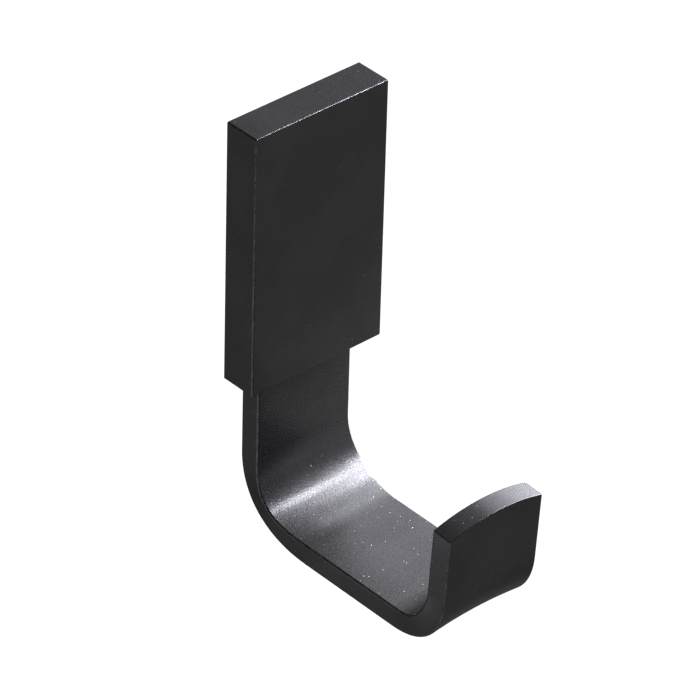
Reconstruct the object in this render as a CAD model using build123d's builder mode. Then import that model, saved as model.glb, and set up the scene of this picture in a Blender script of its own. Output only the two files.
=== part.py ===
from math import pi, sin
import os

from build123d import *

os.makedirs("parts", exist_ok=True)

# The wall is the plane y = 0, the hook reaches out towards -Y, and z = 0 is half way up the cover.
# All sizes are in millimetres.

# Arm: one flat bar, bent twice into a J and cut to a shallow arch at its tip
bar_w = 20.4
bar_t = 4.1
bar_edge_r = 0.35
bar_end_corner_r = 3.0
reach = 50.8  # from the wall to the outer face of the lip at the corners of the tip
floor_drop = 30.75  # from the bottom of the cover to the underside of the floor
lip_height = 24.45  # from the underside of the floor to the corners of the tip
lip_lean = 3.4
tip_rise = 1.6
tip_edge_r = 0.2

# Cover: a rectangular cap that fits round the screwed end of the arm
cover_h = 50.0
cover_front_wall = 2.8
cover_side_wall = 3.85
cover_top_wall = 3.0
cover_edge_r = 0.3
fit_gap = 0.1

# Each bend eases in and out, so it is drawn as a curve between two tangent points.
# leg is how far those points lie from the corner, ease how far the curve follows each side.
rear_leg_up = 14.6
rear_leg_out = 16.4
rear_ease = 0.63
front_leg = 11.4
front_ease = 0.625

# Bending squeezes the metal inside a bend and stretches it outside, so half way round the
# inner edges swell outwards, the outer edges draw in and the outer face goes hollow.
rear_swell = 0.6
rear_draw_in = 0.1
rear_hollow = 0.3
front_swell = 0.5
front_draw_in = 0.0
front_hollow = 0.5
bend_steps = 8
bend_fade_power = 1.5

# Fixing: two countersunk wall screws through the arm, and a grub screw that holds the cover on
screw_hole_r = 2.25
screw_head_r = 4.2
screw_spacing = 28.0
grub_r = 1.5
grub_thread_gap = 0.05
grub_sunk = 0.4
grub_chamfer = 0.3
grub_socket_flats = 1.5
grub_socket_depth = 1.6

# Lines that follow from the sizes above
across = Vector(1, 0, 0)
lip_up = Vector(0, 0, 1).rotate(Axis.X, lip_lean)
pocket_w = bar_w + 2 * fit_gap
cover_w = pocket_w + 2 * cover_side_wall
cover_d = bar_t + fit_gap + cover_front_wall
bar_top_z = cover_h / 2 - cover_top_wall - fit_gap
floor_z = -cover_h / 2 - floor_drop
rear_corner = Vector(0, 0, floor_z)
lip_corner = Vector(0, -reach, floor_z + lip_height)
front_corner = lip_corner - lip_up * (lip_height / lip_up.Z)
rear_start = rear_corner + Vector(0, 0, rear_leg_up)
rear_end = rear_corner - Vector(0, rear_leg_out, 0)
front_start = front_corner + Vector(0, front_leg, 0)
front_end = front_corner + lip_up * front_leg
rear_path = Bezier(
    rear_start,
    rear_start + (rear_corner - rear_start) * rear_ease,
    rear_end + (rear_corner - rear_end) * rear_ease,
    rear_end,
)
front_path = Bezier(
    front_start,
    front_start + (front_corner - front_start) * front_ease,
    front_end + (front_corner - front_end) * front_ease,
    front_end,
)

with BuildPart() as hook_arm:
    # Straight lengths: the upright on the wall, the floor of the hook, and the lip.
    # Local y runs from the outer face of the bar to its inner face.
    upright_plane = Plane(rear_start, x_dir=across, z_dir=(0, 0, -1))
    floor_plane = Plane(rear_end, x_dir=across, z_dir=(0, -1, 0))
    lip_plane = Plane(front_end, x_dir=across, z_dir=lip_up)
    straights = (
        (upright_plane, rear_start.Z - bar_top_z),
        (floor_plane, rear_end.Y - front_start.Y),
        (lip_plane, (lip_corner - front_end).length + 2 * tip_rise),
    )
    for start, length in straights:
        with BuildSketch(start):
            with Locations((0, bar_t / 2)):
                RectangleRounded(bar_w, bar_t, bar_edge_r)
        extrude(amount=length)

    # Bends: sections set square to the curve, fullest half way round
    bends = (
        (rear_path, rear_swell, rear_draw_in, rear_hollow),
        (front_path, front_swell, front_draw_in, front_hollow),
    )
    for path, swell, draw_in, hollow in bends:
        for step in range(bend_steps + 1):
            share = step / bend_steps
            straight = step in (0, bend_steps)
            strain = sin(pi * share) ** bend_fade_power
            half_outer = bar_w / 2 - draw_in * strain
            half_inner = bar_w / 2 + swell * strain
            dip = hollow * strain
            outer_left = (-half_outer, 0)
            outer_right = (half_outer, 0)
            inner_right = (half_inner, bar_t)
            inner_left = (-half_inner, bar_t)
            with BuildSketch(Plane(path @ share, x_dir=across, z_dir=path % share)):
                with BuildLine():
                    if straight:
                        Line(outer_left, outer_right)
                    else:
                        ThreePointArc(outer_left, (0, dip), outer_right)
                    Line(outer_right, inner_right)
                    if straight:
                        Line(inner_right, inner_left)
                    else:
                        ThreePointArc(inner_right, (0, bar_t + dip), inner_left)
                    Line(inner_left, outer_left)
                make_face()
                fillet(vertices(), radius=bar_edge_r)
        loft()

    # Tip: everything above a shallow arch through both corners is cut away
    arch_r = (bar_w**2 / 4 + tip_rise**2) / (2 * tip_rise)
    with BuildSketch(Plane(lip_corner, x_dir=across, z_dir=across.cross(lip_up))):
        Rectangle(2 * bar_w, 4 * tip_rise)
        with Locations((0, tip_rise - arch_r)):
            Circle(arch_r, mode=Mode.SUBTRACT)
    extrude(amount=2 * bar_t, both=True, mode=Mode.SUBTRACT)
    tip_face = faces().filter_by(GeomType.CYLINDER).sort_by(SortBy.AREA)[-1]
    fillet(tip_face.edges(), radius=tip_edge_r)

    # Hidden end: its corners are rounded to fit the pocket in the cover
    with BuildSketch(Plane.XZ):
        with Locations((0, bar_top_z)):
            Rectangle(2 * bar_w, 2 * bar_end_corner_r)
        with Locations((0, bar_top_z - bar_w / 2)):
            RectangleRounded(bar_w, bar_w, bar_end_corner_r, mode=Mode.SUBTRACT)
    extrude(amount=2 * bar_t, both=True, mode=Mode.SUBTRACT)

    # Two countersunk holes for the wall screws, opened from the front
    with Locations(Plane((0, -bar_t, 0), x_dir=across, z_dir=(0, -1, 0))):
        with GridLocations(bar_w, screw_spacing, 1, 2):
            CounterSinkHole(screw_hole_r, screw_head_r, depth=bar_t, counter_sink_angle=90)
hook_arm.part.label = "hook_arm"
export_step(hook_arm.part, "parts/hook_arm.step")

with BuildPart() as cover:
    with BuildSketch(Plane.XZ):
        Rectangle(cover_w, cover_h)
    extrude(amount=cover_d)
    back_face = faces().sort_by(Axis.Y)[-1]
    fillet(edges() - back_face.edges(), radius=cover_edge_r)

    # Pocket for the arm, open at the back and at the bottom
    with BuildSketch(Plane.XZ):
        with Locations((0, -cover_h / 2)):
            Rectangle(pocket_w, cover_h - cover_top_wall, align=(Align.CENTER, Align.MIN))
        fillet(vertices().group_by(Axis.Y)[-1], radius=bar_end_corner_r + fit_gap)
    extrude(amount=bar_t + fit_gap, mode=Mode.SUBTRACT)

    # Threaded hole for the grub screw, through the right side at the middle of the bar
    grub_axis = Plane((cover_w / 2, -bar_t / 2, 0), x_dir=(0, 1, 0), z_dir=across)
    with Locations(grub_axis):
        Hole(grub_r + grub_thread_gap, depth=cover_side_wall + fit_gap)
cover.part.label = "cover"
export_step(cover.part, "parts/cover.step")

with BuildPart() as grub_screw:
    # From the edge of the bar, where its point presses, to just under the side of the cover
    grub_length = cover_w / 2 - grub_sunk - bar_w / 2
    with BuildSketch(grub_axis.offset(-grub_sunk)):
        Circle(grub_r)
    extrude(amount=-grub_length)
    chamfer(edges().filter_by(GeomType.CIRCLE), length=grub_chamfer)
    with BuildSketch(grub_axis.offset(-grub_sunk)):
        RegularPolygon(grub_socket_flats / 2, 6, major_radius=False)
    extrude(amount=-grub_socket_depth, mode=Mode.SUBTRACT)
grub_screw.part.label = "grub_screw"
export_step(grub_screw.part, "parts/grub_screw.step")
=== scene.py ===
# %% [markdown]
# # A black robe hook, finished and lit
# The hook is a flat aluminium bar, bent twice into a J, with a plain rectangular cover
# over the end that is screwed to the wall. Its shapes come from the CAD model, which
# this script loads and never changes. What is left to do in Blender is the finish of
# each part, the light and the camera.

# %% Load the model
import math

import bpy
from mathutils import Matrix, Vector


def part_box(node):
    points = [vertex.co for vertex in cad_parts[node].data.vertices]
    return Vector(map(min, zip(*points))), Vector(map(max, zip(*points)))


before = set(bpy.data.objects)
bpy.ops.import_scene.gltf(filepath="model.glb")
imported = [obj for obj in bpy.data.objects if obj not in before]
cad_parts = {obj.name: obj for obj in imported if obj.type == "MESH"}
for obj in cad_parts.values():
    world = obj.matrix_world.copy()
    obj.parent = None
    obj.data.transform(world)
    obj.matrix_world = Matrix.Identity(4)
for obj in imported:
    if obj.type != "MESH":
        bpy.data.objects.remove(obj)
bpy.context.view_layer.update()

MM = 0.001
for part in sorted(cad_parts):
    low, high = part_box(part)
    size = (high - low) / MM
    print(f"{part}: {size.x:.1f} wide, {size.y:.1f} deep, {size.z:.1f} mm high")

# %% [markdown]
# ## The camera
# The picture looks down on the hook from its left front, through a long lens, so that
# upright edges stay nearly parallel. A camera can be placed by eye, but its direction
# is easier to read and to change when it is given as angles round the point that it
# aims at. The small roll is the tilt of the real camera.

# %% Camera
AIM = Vector((-8.5, -24.14, -8.74)) * MM
DISTANCE = 839.2 * MM
AZIMUTH = math.radians(-42.74)
ELEVATION = math.radians(35.02)
ROLL = math.radians(1.68)
LENS = 269.47  # focal length in mm

towards_camera = Vector((
    math.sin(AZIMUTH) * math.cos(ELEVATION),
    -math.cos(AZIMUTH) * math.cos(ELEVATION),
    math.sin(ELEVATION),
))
level_right = Vector((math.cos(AZIMUTH), math.sin(AZIMUTH), 0))
right = Matrix.Rotation(ROLL, 3, towards_camera) @ level_right
up = towards_camera.cross(right)

bpy.ops.object.camera_add()
camera = bpy.context.object
camera.name = "camera"
camera.data.lens = LENS
camera.matrix_world = (
    Matrix.Translation(AIM + towards_camera * DISTANCE)
    @ Matrix((right, up, towards_camera)).transposed().to_4x4()
)
bpy.context.scene.camera = camera
print("camera at", [round(v, 4) for v in camera.matrix_world.translation])

# %% [markdown]
# ## Node helpers
# Every finish below is a small network of nodes. A few short helpers keep the cells
# readable: one adds a node with its settings, and the others do arithmetic, turn a
# value into a soft step, and mix two colours or two numbers.

# %% Helpers for node networks
COLOUR_A, COLOUR_B, COLOUR_RESULT = 6, 7, 2  # sockets of the Mix node set to colours


def add_node(tree, kind, settings=None, inputs=None):
    """A new node. A socket given in inputs takes a number, a colour or another socket."""
    node = tree.nodes.new("ShaderNode" + kind)
    for name, value in (settings or {}).items():
        setattr(node, name, value)
    for name, value in (inputs or {}).items():
        if isinstance(value, bpy.types.NodeSocket):
            tree.links.new(value, node.inputs[name])
        else:
            node.inputs[name].default_value = value
    return node


def math_node(tree, operation, first, second=0.0, clamp=False):
    """One step of arithmetic on two numbers or sockets."""
    settings = {"operation": operation, "use_clamp": clamp}
    return add_node(tree, "Math", settings, {0: first, 1: second}).outputs[0]


def ramp(tree, value, start, end, low=0.0, high=1.0):
    """Low up to start, high from end on, and a soft step in between."""
    inputs = {
        "Value": value,
        "From Min": start,
        "From Max": end,
        "To Min": low,
        "To Max": high,
    }
    settings = {"interpolation_type": "SMOOTHSTEP"}
    return add_node(tree, "MapRange", settings, inputs).outputs["Result"]


def mix_colour(tree, factor, first, second):
    """First where factor is 0, second where it is 1."""
    inputs = {"Factor": factor, COLOUR_A: first, COLOUR_B: second}
    node = add_node(tree, "Mix", {"data_type": "RGBA"}, inputs)
    return node.outputs[COLOUR_RESULT]


def mix_value(tree, factor, first, second):
    """The same for plain numbers."""
    node = add_node(tree, "Mix", inputs={"Factor": factor, "A": first, "B": second})
    return node.outputs["Result"]


print("helpers: add_node, math_node, ramp, mix_colour, mix_value")

# %% [markdown]
# ## Floor and background
# The hook is shown alone on white, in a dim room. More light on a backdrop would make
# it white too, but that light would also fall on the hook. So the backdrop is bright
# only for the rays that look at it, which the Light Path node tells from the rays that
# light a surface. The camera sees white all round. In a reflection the white ends near
# the horizon, under a dim ceiling, because a bright one would turn every upward face of
# the black finish grey. The floor is a real pale surface, some way below, so it still
# takes the shadow, and it gets just enough glow of its own to look white.

# %% Which rays look at the background
def seen_rays(tree):
    """1 for rays of the camera, in a reflection or through glass, and 0 for others."""
    path = add_node(tree, "LightPath")
    seen = math_node(
        tree, "ADD", path.outputs["Is Camera Ray"], path.outputs["Is Glossy Ray"]
    )
    return math_node(tree, "ADD", seen, path.outputs["Is Transmission Ray"], clamp=True)


def away_from_camera(tree):
    """0 for rays that come straight from the camera, and 1 for all others."""
    camera_ray = add_node(tree, "LightPath").outputs["Is Camera Ray"]
    return math_node(tree, "SUBTRACT", 1.0, camera_ray)


print("helpers: seen_rays, away_from_camera")

# %% World
ROOM_LIGHT = 0.2
BACKDROP_WHITE = 1.0
CEILING_IN_REFLECTIONS = 0.15
CEILING_START, CEILING_END = -0.2, 0.3  # height of a direction, where 1 is straight up

world = bpy.data.worlds.new("studio")
world.use_nodes = True
bpy.context.scene.world = world
tree = world.node_tree
background = tree.nodes["Background"]
background.inputs["Color"].default_value = (1, 1, 1, 1)

direction = add_node(tree, "TexCoord").outputs["Generated"]
height = add_node(tree, "SeparateXYZ", inputs={"Vector": direction}).outputs["Z"]
above = ramp(tree, height, CEILING_START, CEILING_END)
ceiling = math_node(tree, "MULTIPLY", above, away_from_camera(tree))
seen_white = mix_value(tree, ceiling, BACKDROP_WHITE, CEILING_IN_REFLECTIONS)
brightness = mix_value(tree, seen_rays(tree), ROOM_LIGHT, seen_white)
tree.links.new(brightness, background.inputs["Strength"])
print("room light", ROOM_LIGHT, "and backdrop", BACKDROP_WHITE)

# %% [markdown]
# The floor has one more thing that only reflections see: a dark flag, as a photographer
# would lay out black cloth, far behind on the right. It is what the inside of the front
# bend and the lower rim of the lip mirror, and it keeps them dark.

# %% Floor
FLOOR_DEPTH = 1200 * MM
FLOOR_SIZE = 12.0
PAPER_WHITE = (0.8, 0.8, 0.8, 1)
PAPER_ROUGHNESS = 0.9
FLOOR_GLOW = 0.95
FLAG_GLOW = 0.1
FLAG_START, FLAG_END = 0.5, 1.2  # metres to the right plus metres behind

bpy.ops.mesh.primitive_plane_add(size=FLOOR_SIZE, location=(0, 0, -FLOOR_DEPTH))
floor = bpy.context.object
floor.name = "floor"
bpy.ops.object.transform_apply(location=True, rotation=True, scale=True)

paper = bpy.data.materials.new("white_paper")
paper.use_nodes = True
tree = paper.node_tree
shader = tree.nodes["Principled BSDF"]
shader.inputs["Base Color"].default_value = PAPER_WHITE
shader.inputs["Roughness"].default_value = PAPER_ROUGHNESS
shader.inputs["Emission Color"].default_value = (1, 1, 1, 1)

place = add_node(tree, "TexCoord").outputs["Object"]
spot = add_node(tree, "SeparateXYZ", inputs={"Vector": place})
behind = math_node(tree, "ADD", spot.outputs["X"], spot.outputs["Y"])
on_flag = ramp(tree, behind, FLAG_START, FLAG_END)
flag = math_node(tree, "MULTIPLY", on_flag, away_from_camera(tree))
glow = math_node(tree, "MULTIPLY", seen_rays(tree), FLOOR_GLOW)
glow = mix_value(tree, flag, glow, FLAG_GLOW)
tree.links.new(glow, shader.inputs["Emission Strength"])
floor.data.materials.append(paper)
print("floor", FLOOR_DEPTH / MM, "mm below the middle of the cover")

# %% [markdown]
# ## Light
# A black object shows its shape by what it reflects. A picture of a studio could light
# it, but lamps can be moved and dimmed one at a time. Seen from the camera, the rear
# bend reflects one direction after another, from high in front to high behind, so each
# softbox lights its own part of it. A small key lamp stands just where the middle of
# the bend mirrors it, and draws the sharp highlight. Large dim panels on the right give
# the floor of the hook and the top of the cover their sheen, and the low one lights the
# tip.

# %% Softboxes
LAMP_AIM = Vector((0, -22, -20)) * MM
COOL_WHITE = (0.91, 0.91, 1.0)
NO_GRID = 180


def softbox(name, turn, height, side, distance, brightness, aim=LAMP_AIM, spread=NO_GRID):
    """A square area lamp that looks at aim. Its angles are in degrees: turn is from +X
    towards +Y, height is above level, and spread is what a grid lets through."""
    turn, height = math.radians(turn), math.radians(height)
    direction = Vector((
        math.cos(turn) * math.cos(height),
        math.sin(turn) * math.cos(height),
        math.sin(height),
    ))
    bpy.ops.object.light_add(type="AREA")
    lamp = bpy.context.object
    lamp.name = name
    lamp.data.shape = "SQUARE"
    lamp.data.size = side
    lamp.data.energy = math.pi * side * side * brightness
    lamp.data.spread = math.radians(spread)
    lamp.data.color = COOL_WHITE
    lamp.visible_camera = False
    lamp.matrix_world = (
        Matrix.Translation(aim + direction * distance)
        @ direction.to_track_quat("Z", "Y").to_matrix().to_4x4()
    )
    print(f"{name}: {lamp.data.energy:.2f} W")


# %% Key lamp and panels
softbox("key", turn=-30, height=49, side=0.04, distance=0.3, brightness=200)
softbox("right", turn=0, height=42, side=0.08, distance=0.3, brightness=61)
softbox("back", turn=50, height=38, side=0.1, distance=0.3, brightness=2.0)
softbox("high_back", turn=65, height=50, side=0.15, distance=0.4, brightness=1.7)
softbox("panel_right", turn=20, height=35, side=0.25, distance=0.5, brightness=16.5)
softbox("panel_low", turn=15, height=20, side=0.25, distance=0.5, brightness=33)

# %% [markdown]
# Five small lamps stand close to the hook. Three make the right end of the bend glow,
# one lights the back of the hook's floor, and a card low on the left lifts the side of
# the bar a little. A lamp this close would also brighten the front of the cover, so the
# two strongest carry a grid, which narrows their light to the bend.

# %% Small lamps close to the hook
BEND_END = Vector((10, -12, -46)) * MM
HOOK_FLOOR = Vector((2, -26, -51)) * MM
LIP_SIDE = Vector((-10, -45, -45)) * MM
GRID = 60

softbox("bend_right", 0, 25, 0.03, 0.08, brightness=52, aim=BEND_END, spread=GRID)
softbox("bend_front", -20, 30, 0.03, 0.08, brightness=12.5, aim=BEND_END, spread=GRID)
softbox("bend_back", 60, 20, 0.03, 0.06, brightness=2.6, aim=BEND_END)
softbox("floor_back", 47, 35, 0.05, 0.12, brightness=3.3, aim=HOOK_FLOOR)
softbox("card", 150, -15, 0.06, 0.08, brightness=1.5, aim=LIP_SIDE)

# %% [markdown]
# ## Black anodised aluminium
# The arm and the cover are blasted, then anodised black. Close up that gives a fine
# even grain that breaks the gloss into a satin sheen, faint clouds in the depth of the
# black, lighter rounded edges that are partly rubbed wear and partly a painted
# highlight, and a few pale specks of dust.
# A painted image could hold all that, but it would need seams on every edge. Noise in
# the part's own coordinates has none, and it keeps its size on every part.

# %% Grain of the blasted metal
GRAIN_SIZE = 0.28 * MM
GRAIN_DEPTH = 0.006 * MM
GRAIN_DETAIL = 1
GRAIN_LOW, GRAIN_HIGH = 0.3, 0.7  # values of the noise that become 0 and 1


def spread_noise(tree, place, size, detail, low, high):
    """Noise with patches of about one size, stretched over 0 to 1."""
    inputs = {"Vector": place, "Scale": 1 / size, "Detail": detail}
    noise = add_node(tree, "TexNoise", inputs=inputs)
    return ramp(tree, noise.outputs["Fac"], low, high)


def grain(tree, place):
    """The height of the tiny hills of the blasted surface, from 0 to 1."""
    return spread_noise(tree, place, GRAIN_SIZE, GRAIN_DETAIL, GRAIN_LOW, GRAIN_HIGH)


def bump(tree, height, depth):
    """A height pattern as a normal for the shader. depth is that of a height of 1."""
    inputs = {"Strength": 1, "Distance": depth, "Height": height}
    return add_node(tree, "Bump", inputs=inputs).outputs["Normal"]


print("grain", GRAIN_SIZE / MM, "mm across and", GRAIN_DEPTH / MM, "mm deep")

# %% Clouds in the black
CLOUD_SIZE = 12 * MM
CLOUD_DETAIL = 3
CLOUD_LOW, CLOUD_HIGH = 0.35, 0.65


def clouds(tree, place):
    """A slow change over the surface, from 0 to 1."""
    return spread_noise(tree, place, CLOUD_SIZE, CLOUD_DETAIL, CLOUD_LOW, CLOUD_HIGH)


print("clouds", CLOUD_SIZE / MM, "mm across")

# %% [markdown]
# ### Dust
# Dust settles on what faces upwards, so most of it lies on the floor of the hook, and a
# little clings to a patch low on the front of the lip. Single flakes could be modelled,
# but these are only a fifth of a millimetre across. A Voronoi texture gives each small
# cell a point and a random colour: the point carries the speck, and the colour says
# whether there is one and how strong it is.

# %% Specks of dust
SPECK_SPACING = 0.6 * MM
SPECK_RADIUS = 0.1 * MM
SPECK_CORE = 0.6  # share of the radius before a speck starts to fade
FAINTEST_SPECK = 0.15
WALL_UP, FLOOR_UP = 0.2, 0.8  # how far a wall and a floor face upwards
DUSTY_PLACE = Vector((-0.6, -50.6, -43.9)) * MM  # low on the front of the lip
DUSTY_CORE, DUSTY_EDGE = 1.5 * MM, 4.5 * MM
DUSTY_SHARE = 1.0


def dust_share(tree, place, facing, shares):
    """How many of the possible specks are there. shares: on a wall and on a floor."""
    height = add_node(tree, "SeparateXYZ", inputs={"Vector": facing}).outputs["Z"]
    settled = ramp(tree, height, WALL_UP, FLOOR_UP, *shares)
    away = add_node(
        tree, "VectorMath", {"operation": "DISTANCE"}, {0: place, 1: DUSTY_PLACE}
    )
    patch = ramp(tree, away.outputs["Value"], DUSTY_CORE, DUSTY_EDGE, DUSTY_SHARE, 0)
    return math_node(tree, "ADD", settled, patch)


def specks(tree, place, facing, shares):
    """Round specks of dust, from 0 to 1."""
    inputs = {"Vector": place, "Scale": 1 / SPECK_SPACING}
    cells = add_node(tree, "TexVoronoi", inputs=inputs)
    radius = SPECK_RADIUS / SPECK_SPACING
    dot = ramp(tree, cells.outputs["Distance"], SPECK_CORE * radius, radius, 1, 0)
    chance = add_node(tree, "SeparateColor", inputs={"Color": cells.outputs["Color"]})
    share = dust_share(tree, place, facing, shares)
    chosen = math_node(tree, "LESS_THAN", chance.outputs["Red"], share)
    strength = ramp(tree, chance.outputs["Green"], 0, 1, FAINTEST_SPECK, 1)
    speck = math_node(tree, "MULTIPLY", dot, chosen)
    return math_node(tree, "MULTIPLY", speck, strength)


print("specks", 2 * SPECK_RADIUS / MM, "mm across")

# %% [markdown]
# ### Edges
# The rounded edges are painted a lighter black, which is partly rubbed wear and partly
# a painted highlight. They could be painted by hand or found from the curvature of
# the mesh, but on parts this plain the normal tells them apart exactly: a flat face of
# the cover looks along one axis, and its rounded edges look between two. The bar bends,
# so there only the sideways part of the normal counts.

# %% Edges, told apart by the way that they face
BOX_EDGE, BOX_FACE = 0.8, 0.97  # largest part of the normal
BAR_FACE, BAR_EDGE_IN = 0.35, 0.5  # sideways part of the normal
BAR_EDGE_OUT, BAR_SIDE = 0.85, 0.95


def edge_of_box(tree, facing):
    """1 on the rounded edges of a box, where the surface faces between two axes."""
    size = add_node(tree, "VectorMath", {"operation": "ABSOLUTE"}, {0: facing})
    parts = add_node(tree, "SeparateXYZ", inputs={"Vector": size.outputs[0]})
    largest = math_node(tree, "MAXIMUM", parts.outputs["X"], parts.outputs["Y"])
    largest = math_node(tree, "MAXIMUM", largest, parts.outputs["Z"])
    return ramp(tree, largest, BOX_EDGE, BOX_FACE, 1, 0)


def edge_of_bar(tree, facing):
    """1 on the rounded long edges of the bent bar, between its faces and its sides."""
    parts = add_node(tree, "SeparateXYZ", inputs={"Vector": facing})
    across = math_node(tree, "ABSOLUTE", parts.outputs["X"])
    off_face = ramp(tree, across, BAR_FACE, BAR_EDGE_IN)
    off_side = ramp(tree, across, BAR_EDGE_OUT, BAR_SIDE, 1, 0)
    return math_node(tree, "MULTIPLY", off_face, off_side)


print("edges of the cover:", edge_of_box.__doc__)
print("edges of the bar:", edge_of_bar.__doc__)

# %% [markdown]
# ### The end of the bar
# The arch at the tip is cut after the bar is rolled, and it stays smoother than the
# faces. It could get a material of its own, but then the grain would stop at a hard
# line. Its place is known from the CAD model, so the grain is faded out there instead.

# %% The end of the bar
CUT_END_BACK, CUT_END_FRONT = -45 * MM, -46 * MM
CUT_END_LOW, CUT_END_HIGH = -32.5 * MM, -31.7 * MM
CUT_SMOOTHNESS = 0.7


def cut_end(tree, place):
    """How much smoother the cut end of the bar is than its rolled faces, from 0 to 1."""
    parts = add_node(tree, "SeparateXYZ", inputs={"Vector": place})
    ahead = ramp(tree, parts.outputs["Y"], CUT_END_FRONT, CUT_END_BACK, CUT_SMOOTHNESS, 0)
    top = ramp(tree, parts.outputs["Z"], CUT_END_LOW, CUT_END_HIGH)
    return math_node(tree, "MULTIPLY", ahead, top)


print("cut end above", round(CUT_END_LOW / MM, 1), "mm")

# %% [markdown]
# ### The finish itself
# The dye sits in a clear hard oxide on bright metal. Most of the light is mirrored
# softly, as on metal, and a little is scattered in the depth of the layer, so the
# shader is mostly metallic and not wholly. A metal turns white at a glancing angle, and
# this finish doesn't, so its edge tint is held back. The colours are those of the
# reflection, and near black.

# %% Colours and gloss
DEEP_BLACK = (0.0222, 0.0222, 0.0225, 1)
WORN_BLACK = (0.03, 0.03, 0.0303, 1)
# lighter black on the rounded edges: partly rubbed wear, partly a painted highlight
RUB_AND_HIGHLIGHT_BLACK = (0.054, 0.054, 0.054, 1)
PALE_DUST = (0.22, 0.22, 0.215, 1)
EDGE_GLOSS = (0.5, 0.5, 0.5, 1)
METAL_SHARE = 0.82
GLOSS_LEVEL = 0.0  # of the part that isn't metallic
SATIN = 0.27
SATIN_CHANGE = 0.012
DULL = 0.6
MEAN_HEIGHT = 0.5
GRAIN_IN_SHADE = 0.5  # the rest of the change in shade comes from the clouds
# breaks along the lighter edges, which are partly wear and partly a painted highlight
RUB_AND_HIGHLIGHT_SIZE = 0.8 * MM
RUB_AND_HIGHLIGHT_DETAIL = 2
RUB_AND_HIGHLIGHT_LOW, RUB_AND_HIGHLIGHT_HIGH = 0.35, 0.65


def black_anodised(name, edges, speck_shares):
    """The satin black of one part, with rubs and a painted highlight on its kind of edge.
    """
    material = bpy.data.materials.new(name)
    material.use_nodes = True
    tree = material.node_tree
    shader = tree.nodes["Principled BSDF"]
    source = add_node(tree, "TexCoord")
    place, facing = source.outputs["Object"], source.outputs["Normal"]

    hills = mix_value(tree, cut_end(tree, place), grain(tree, place), MEAN_HEIGHT)
    shade = mix_value(tree, GRAIN_IN_SHADE, clouds(tree, place), hills)
    # the lighter edges: partly rubbed wear, partly a painted highlight along each edge
    rub_and_highlight_breaks = spread_noise(tree, place, RUB_AND_HIGHLIGHT_SIZE, RUB_AND_HIGHLIGHT_DETAIL, RUB_AND_HIGHLIGHT_LOW, RUB_AND_HIGHLIGHT_HIGH)
    rub_and_highlight = math_node(tree, "MULTIPLY", edges(tree, facing), rub_and_highlight_breaks)
    dust = specks(tree, place, facing, speck_shares)

    colour = mix_colour(tree, shade, DEEP_BLACK, WORN_BLACK)
    colour = mix_colour(tree, rub_and_highlight, colour, RUB_AND_HIGHLIGHT_BLACK)
    colour = mix_colour(tree, dust, colour, PALE_DUST)
    satin = mix_value(tree, hills, SATIN - SATIN_CHANGE, SATIN + SATIN_CHANGE)
    roughness = mix_value(tree, dust, satin, DULL)
    metallic = mix_value(tree, dust, METAL_SHARE, 0)

    tree.links.new(colour, shader.inputs["Base Color"])
    tree.links.new(roughness, shader.inputs["Roughness"])
    tree.links.new(metallic, shader.inputs["Metallic"])
    tree.links.new(bump(tree, hills, GRAIN_DEPTH), shader.inputs["Normal"])
    shader.inputs["Specular IOR Level"].default_value = GLOSS_LEVEL
    shader.inputs["Specular Tint"].default_value = EDGE_GLOSS
    return material


print("metal share", METAL_SHARE, "and roughness", SATIN)

# %% Dress the arm and the cover
ARM_SPECKS = (0.03, 0.2)  # on a wall and on a floor
COVER_SPECKS = (0.01, 0.03)


def dress(part, material):
    """Puts a material on every slot of a CAD part."""
    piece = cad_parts[part]
    if not piece.material_slots:
        piece.data.materials.append(material)
    for slot in piece.material_slots:
        slot.material = material
    print(f"{part} is finished in {material.name}")


dress("hook_arm", black_anodised("arm_black_anodised", edge_of_bar, ARM_SPECKS))
dress("cover", black_anodised("cover_black_anodised", edge_of_box, COVER_SPECKS))

# %% [markdown]
# ## Black oxide steel
# The grub screw is turned from steel and blackened in a hot salt bath. Turning leaves
# fine rings on its end, and the thin oxide lets a little of the metal's shine through.
# The rings could be cut into the mesh, but they are a thousandth of a millimetre deep.
# A Wave texture draws them, centred on the axis of the screw by a Mapping node.

# %% The grub screw
RING_SPACING = 0.15 * MM
RING_DEPTH = 0.001 * MM
RING_WOBBLE = 0.3
WAVE_PERIOD = math.tau / 20  # of a Wave texture at scale 1
OXIDE_BLACK = (0.018, 0.018, 0.019, 1)
OXIDE_BROWN = (0.028, 0.027, 0.0265, 1)
OXIDE_SHINY, OXIDE_DULL = 0.34, 0.44

oxide = bpy.data.materials.new("black_oxide_steel")
oxide.use_nodes = True
tree = oxide.node_tree
shader = tree.nodes["Principled BSDF"]
place = add_node(tree, "TexCoord").outputs["Object"]

low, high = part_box("grub_screw")
centred = add_node(
    tree, "Mapping", inputs={"Vector": place, "Location": -(low + high) / 2}
)
rings = add_node(
    tree,
    "TexWave",
    {"wave_type": "RINGS", "rings_direction": "X"},
    {
        "Vector": centred.outputs["Vector"],
        "Scale": WAVE_PERIOD / RING_SPACING,
        "Distortion": RING_WOBBLE,
    },
)
patina = clouds(tree, place)
colour = mix_colour(tree, patina, OXIDE_BLACK, OXIDE_BROWN)
roughness = mix_value(tree, patina, OXIDE_SHINY, OXIDE_DULL)
tree.links.new(colour, shader.inputs["Base Color"])
tree.links.new(roughness, shader.inputs["Roughness"])
tree.links.new(bump(tree, rings.outputs["Fac"], RING_DEPTH), shader.inputs["Normal"])
shader.inputs["Metallic"].default_value = 1.0
dress("grub_screw", oxide)

# %% [markdown]
# ## Picture settings
# Blender can shade a picture like film, with softer whites and blacks. The Standard
# view leaves the values alone, so the black of the finish and the white of the backdrop
# come out as the light gives them.

# %% View
view = bpy.context.scene.view_settings
view.view_transform = "Standard"
print("view transform:", view.view_transform)
